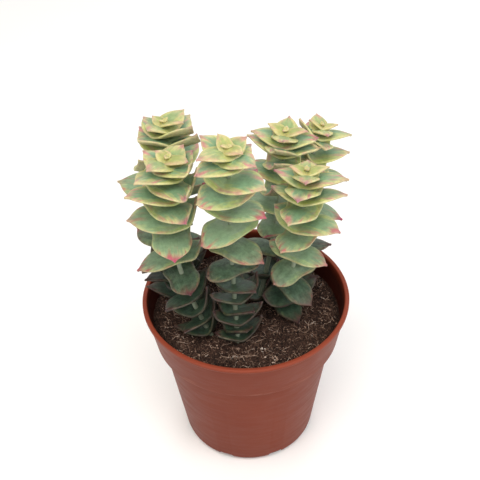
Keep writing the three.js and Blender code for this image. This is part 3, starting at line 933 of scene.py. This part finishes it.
# One pair: the blank's points laid on the pair's middle surface and lifted by half its thickness.
def shapePair(stemName, index, fromTip, blankPoints):
    stem, axis = leafyStems[stemName], axes[stemName]
    shape = pairShape(stem, index, fromTip)
    upward = axis.directionAt(fromTip)
    outward = np.array([math.cos(shape["facing"]), math.sin(shape["facing"]), 0])
    outward -= upward * (outward @ upward)
    outward /= np.linalg.norm(outward)
    turn = np.stack([outward, np.cross(upward, outward), upward], axis=1)
    place = {"turn": turn, "centre": axis.pointAt(fromTip), "stem": stemName}
    along, across, through = np.clip(blankPoints.T, -1, 1)
    along = np.sign(along) * (1 - (1 - np.abs(along)) ** leafBlank["crowding"])
    step = 0.02  # to each side, to find the surface's normal
    here = middleSurface(place, shape, along, across)
    lengthwise = (middleSurface(place, shape, along + step, across)
                  - middleSurface(place, shape, along - step, across))
    crosswise = (middleSurface(place, shape, along, across + step)
                 - middleSurface(place, shape, along, across - step))
    normal = np.cross(lengthwise, crosswise)
    normal /= np.linalg.norm(normal, axis=1)[:, None]
    edge = mix(1, leafShape["edgeShare"], across**2) * mix(1, leafShape["pointShare"], along**2)
    thickness = np.maximum(shape["thickness"] * edge, leafShape["leastThickness"])
    points = here + normal * (through * thickness / 2)[:, None]

    reach, length, half = leafMeasures(shape, along)
    ownSlice = 40 * index + 7 * stem["seed"]  # each pair takes its own slice of the skin's pattern
    count = len(points)
    return mm(points), {
        "leafPlace": np.stack([along * length, across * half, np.full(count, ownSlice)], axis=1),
        "reach": reach,
        "fromEdge": np.minimum((1 - np.abs(across)) * half, (1 - reach) * length),
        "upperFace": through,
        "fromTip": np.full(count, fromTip),
        "blush": np.where(along < 0, draw(stem["seed"], index, 7), draw(stem["seed"], index, 8)),
    }


bareStem = {
    "lowRadius": 1.3,
    "highRadius": 0.8,
    "depth": 12,
    "green": "#6F8468",
    "bloom": "#A9AD98",
}


# The bare stem: one curve with a round bevel, thinner towards the tip.
def makeBareStem(stemName):
    low, bend, tip = [Vector(point) for point in leafyStems[stemName]["points"]]
    tip = Vector(axes[stemName].pointAt(leafShape["headPairs"][0]))
    bpy.ops.object.select_all(action="DESELECT")
    bpy.ops.curve.primitive_bezier_curve_add()
    curve = bpy.context.object.data
    root = low - (bend - low).normalized() * bareStem["depth"]
    # each place with its two handles: two thirds of the way to the bend follows the axis's arc
    handles = [
        (root, mix(root, low, -0.3), mix(root, low, 0.3), bareStem["lowRadius"]),
        (low, mix(low, root, 0.3), mix(low, bend, 2 / 3), bareStem["lowRadius"]),
        (tip, mix(tip, bend, 2 / 3), mix(tip, bend, -0.1), bareStem["highRadius"]),
    ]
    curve.splines[0].bezier_points.add(1)
    for point, (place, left, right, radius) in zip(curve.splines[0].bezier_points, handles):
        point.handle_left_type = point.handle_right_type = "FREE"
        point.co, point.handle_left, point.handle_right = mmPoint(place), mmPoint(left), mmPoint(right)
        point.radius = radius
    curve.dimensions = "3D"
    curve.resolution_u = 40
    curve.bevel_depth = mm(1)  # times each point's radius
    curve.bevel_resolution = 3
    curve.use_fill_caps = True
    bpy.ops.object.convert(target="MESH")
    return bpy.context.object


# colours of the youngest, young, grown and old leaves; the old leaves low on the stem are partly their own
# darker green and partly painted shade
cuticle = {
    "green": ("#A6AE66", "#80A47E", "#88A380", "#364C3A"),
    "lime": ("#C6BF7A", "#B7C06A", "#A2B97C", "#485E43"),
    "joint": ("#C6BF7A", "#B2C08A", "#A8BA9C", "#4C614E"),
    "cream": ("#CFC08C", "#CDC88E", "#B1BF8A", "#566246"),
    "blush": ("#CBA888", "#C48C84", "#B26E62", "#4C322B"),
    "rim": ("#D4C896", "#D2CC98", "#B2A47C", "#42322A"),
    "point": ("#BE9488", "#AC747E", "#AE4A64", "#402927"),
    "under": ("#B7AC78", "#A8A67C", "#6C7358", "#2F3127"),
}
# mm from the margin to which the paler band, the blush and the thin rim reach, on the same ages
reaches = {
    "bandReach": (4.0, 5.4, 3.9, 1.8),
    "blushReach": (2.5, 5.6, 2.8, 1.8),
    "rimReach": (1.2, 1.0, 0.7, 0.5),
}
ages = ((1, 7), (18, 42), (44, 78))  # mm from the tip, where a leaf turns young, grown and old


# Succulent leaf with a waxy cuticle: fleshy, satin and slightly bloomed. Variegated in soft streaks
# along its length: pale by the stem, lime to cream at the margin, blushed towards the point, and darker
# and plainer on the old leaves down the stem, their own darker green with painted shade over it.
def variegatedCuticle():
    material, tree = newMaterial("variegatedWaxyCuticle")
    leafPlace = addNode(tree, "Attribute", {"attribute_name": "leafPlace"}).outputs["Vector"]
    reach, fromEdge, upperFace, fromTip, blush = [
        addNode(tree, "Attribute", {"attribute_name": name}).outputs["Fac"]
        for name in ("reach", "fromEdge", "upperFace", "fromTip", "blush")]

    # every colour and reach passes through one mix for each change of age
    turns = [addNode(tree, "MapRange", {**smoothly, "From Min": start, "From Max": end},
                     {"Value": fromTip}) for start, end in ages]
    oldness = turns[-1]
    aged = {}
    for name, values in {**cuticle, **reaches}.items():
        kind, low, high, result = ("RGBA", 6, 7, 2) if name in cuticle else ("FLOAT", 2, 3, 0)
        values = [linear(value) for value in values] if name in cuticle else values
        for turn, value in zip(turns, values[1:]):
            step = addNode(tree, "Mix", {"data_type": kind, low: values[0], high: value}, {0: turn})
            if name in aged:
                tree.links.new(aged[name], step.inputs[low])
            aged[name] = step.outputs[result]

    # brushed streaks of 1.5 by 11 mm and blotches of 5 mm pull every boundary about, by 5.5 and 3.5 mm
    streakPlace = addNode(tree, "Mapping", {"Scale": (0.09, 0.65, 1.0)}, {"Vector": leafPlace})
    streaks = addNode(tree, "TexNoise", {"Scale": 1.0, "Detail": 3, "Roughness": 0.55},
                      {"Vector": streakPlace})
    blotches = addNode(tree, "TexNoise", {"Scale": 0.2, "Detail": 2}, {"Vector": leafPlace})
    wander = addNode(tree, "Math", {"operation": "MULTIPLY_ADD", 1: 11.0, 2: -5.5}, {0: streaks})
    drift = addNode(tree, "Math", {"operation": "MULTIPLY_ADD", 1: 7.0}, {0: blotches, 2: wander})
    edge = addNode(tree, "Math", {"operation": "ADD", 1: -3.5}, {0: drift})
    wavyPlace = addNode(tree, "Math", {"operation": "ADD"}, {0: fromEdge, 1: edge})
    bandShare = addNode(tree, "MapRange", {**smoothly, "From Min": -1.0, "To Min": 1, "To Max": 0},
                        {"Value": wavyPlace, "From Max": aged["bandReach"]})

    # the joint round the stem is pale, whatever lies further out
    jointShare = addNode(tree, "MapRange",
                         {**smoothly, "From Min": 0.04, "From Max": 0.36, "To Min": 0.55, "To Max": 0},
                         {"Value": reach})
    creamShare = addNode(tree, "MapRange", {**smoothly, "From Min": 0.2, "From Max": 0.85},
                         {"Value": reach})
    band = addNode(tree, "Mix", {"data_type": "RGBA"},
                   {0: creamShare, 6: aged["lime"], 7: aged["cream"]}).outputs[2]

    # the blush lies in long patches beside the margin and over the whole end of a leaf, and is more
    # even on old leaves
    besideEdge = addNode(tree, "MapRange", {**smoothly, "From Min": 0.2, "To Min": 0.75, "To Max": 0},
                         {"Value": fromEdge, "From Max": aged["blushReach"]})
    pointward = addNode(tree, "MapRange", {**smoothly, "From Min": 0.42, "From Max": 0.92, "To Max": 0.9},
                        {"Value": reach})
    blushNear = addNode(tree, "Math", {"operation": "ADD"}, {0: besideEdge, 1: pointward})
    blushPlace = addNode(tree, "Mapping", {"Location": (31.0, 17.0, 5.0), "Scale": (0.8, 0.55, 1.0)},
                         {"Vector": streakPlace})
    blushStreaks = addNode(tree, "TexNoise", {"Scale": 1.0, "Detail": 3, "Roughness": 0.6},
                           {"Vector": blushPlace})
    blushLeast = addNode(tree, "MapRange", {"To Min": 0.03, "To Max": 0.4}, {"Value": oldness})
    blushPatches = addNode(tree, "MapRange", {**smoothly, "From Min": 0.48, "From Max": 0.64},
                           {"Value": blushStreaks, "To Min": blushLeast})
    blushShare = addNode(tree, "Math", {"operation": "MULTIPLY"}, {0: blushNear, 1: blushPatches})

    # a thin rim, broken up, and a flushed point on some leaves
    rimStrength = addNode(tree, "MapRange",
                          {"From Min": 0.35, "From Max": 0.65, "To Min": 0.25, "To Max": 0.8},
                          {"Value": blotches})
    rimShare = addNode(tree, "MapRange", {**smoothly, "To Max": 0},
                       {"Value": fromEdge, "From Max": aged["rimReach"], "To Min": rimStrength})
    pointed = addNode(tree, "MapRange", {**smoothly, "From Min": 0.74, "From Max": 0.98}, {"Value": reach})
    flushed = addNode(tree, "MapRange", {"From Min": -0.5, "From Max": 0.6, "To Min": 0.3},
                      {"Value": blush})
    pointShare = addNode(tree, "Math", {"operation": "MULTIPLY"}, {0: pointed, 1: flushed})

    # undersides are duller, olive to red-brown
    underShare = addNode(tree, "MapRange", {**smoothly, "From Min": -0.1, "From Max": -0.9, "To Max": 0.75},
                         {"Value": upperFace})
    colour = aged["green"]
    for share, above in ((jointShare, aged["joint"]), (bandShare, band), (blushShare, aged["blush"]),
                         (rimShare, aged["rim"]), (pointShare, aged["point"]), (underShare, aged["under"])):
        colour = addNode(tree, "Mix", {"data_type": "RGBA"}, {0: share, 6: colour, 7: above}).outputs[2]

    # mottling of 2 mm, darker where the bloom is thin, strongest on old leaves
    mottle = addNode(tree, "TexNoise", {"Scale": 0.42, "Detail": 5, "Roughness": 0.68},
                     {"Vector": leafPlace})
    deepest = addNode(tree, "MapRange", {"To Min": 0.82, "To Max": 0.55}, {"Value": oldness})
    palest = addNode(tree, "MapRange", {"To Min": 1.12, "To Max": 1.5}, {"Value": oldness})
    dimming = addNode(tree, "MapRange", {"From Min": 0.34, "From Max": 0.68},
                      {"Value": mottle, "To Min": deepest, "To Max": palest})
    mottled = addNode(tree, "VectorMath", {"operation": "SCALE"}, {0: colour, "Scale": dimming})

    bump = addNode(tree, "Bump", {"Strength": 0.45, "Distance": mm(0.8)}, {"Height": streaks})
    shader = addNode(tree, "BsdfPrincipled",
                     {"Roughness": 0.48, "IOR": 1.42, "Subsurface Weight": 0.22, "Subsurface Scale": mm(3),
                      "Subsurface Radius": (1.0, 0.8, 0.4)}, {"Base Color": mottled, "Normal": bump})
    finishMaterial(tree, shader)
    return material


# Young succulent stem under a thick grey bloom: pale, matt and a little patchy, over 1.7 mm.
def bloomedStem():
    material, tree = newMaterial("bloomedSucculentStem")
    place = addNode(tree, "TexCoord").outputs["Object"]
    patches = addNode(tree, "TexNoise", {"Scale": 600, "Detail": 3}, {"Vector": place})
    colour = addNode(tree, "Mix",
                     {"data_type": "RGBA", 6: linear(bareStem["green"]), 7: linear(bareStem["bloom"])},
                     {0: patches}).outputs[2]
    shader = addNode(tree, "BsdfPrincipled", {"Roughness": 0.7}, {"Base Color": colour})
    finishMaterial(tree, shader)
    return material


def makeLeaves(stemName, blankPoints, blankFaces):
    distances = pairDistances(leafyStems[stemName]["spacing"], axes[stemName].length)
    pairs = [shapePair(stemName, index, fromTip, blankPoints) for index, fromTip in enumerate(distances)]
    attributes = {key: [marks[key] for points, marks in pairs] for key in pairs[0][1]}
    return fuseCopies(stemName, blankFaces, [points for points, marks in pairs], attributes)


leafSkin = variegatedCuticle()
stemSkin = bloomedStem()
blankPoints, blankFaces = makeLeafBlank()
for stemName, stem in leafyStems.items():
    leaves = makeLeaves(stemName, blankPoints, blankFaces)
    leaves.data.materials.append(leafSkin)
    tube = makeBareStem(stemName)
    tube.data.materials.append(stemSkin)
    selectOnly(leaves)
    tube.select_set(True)
    bpy.ops.object.join()
    handOver(leaves, stem["node"])
print("leafy stems made")
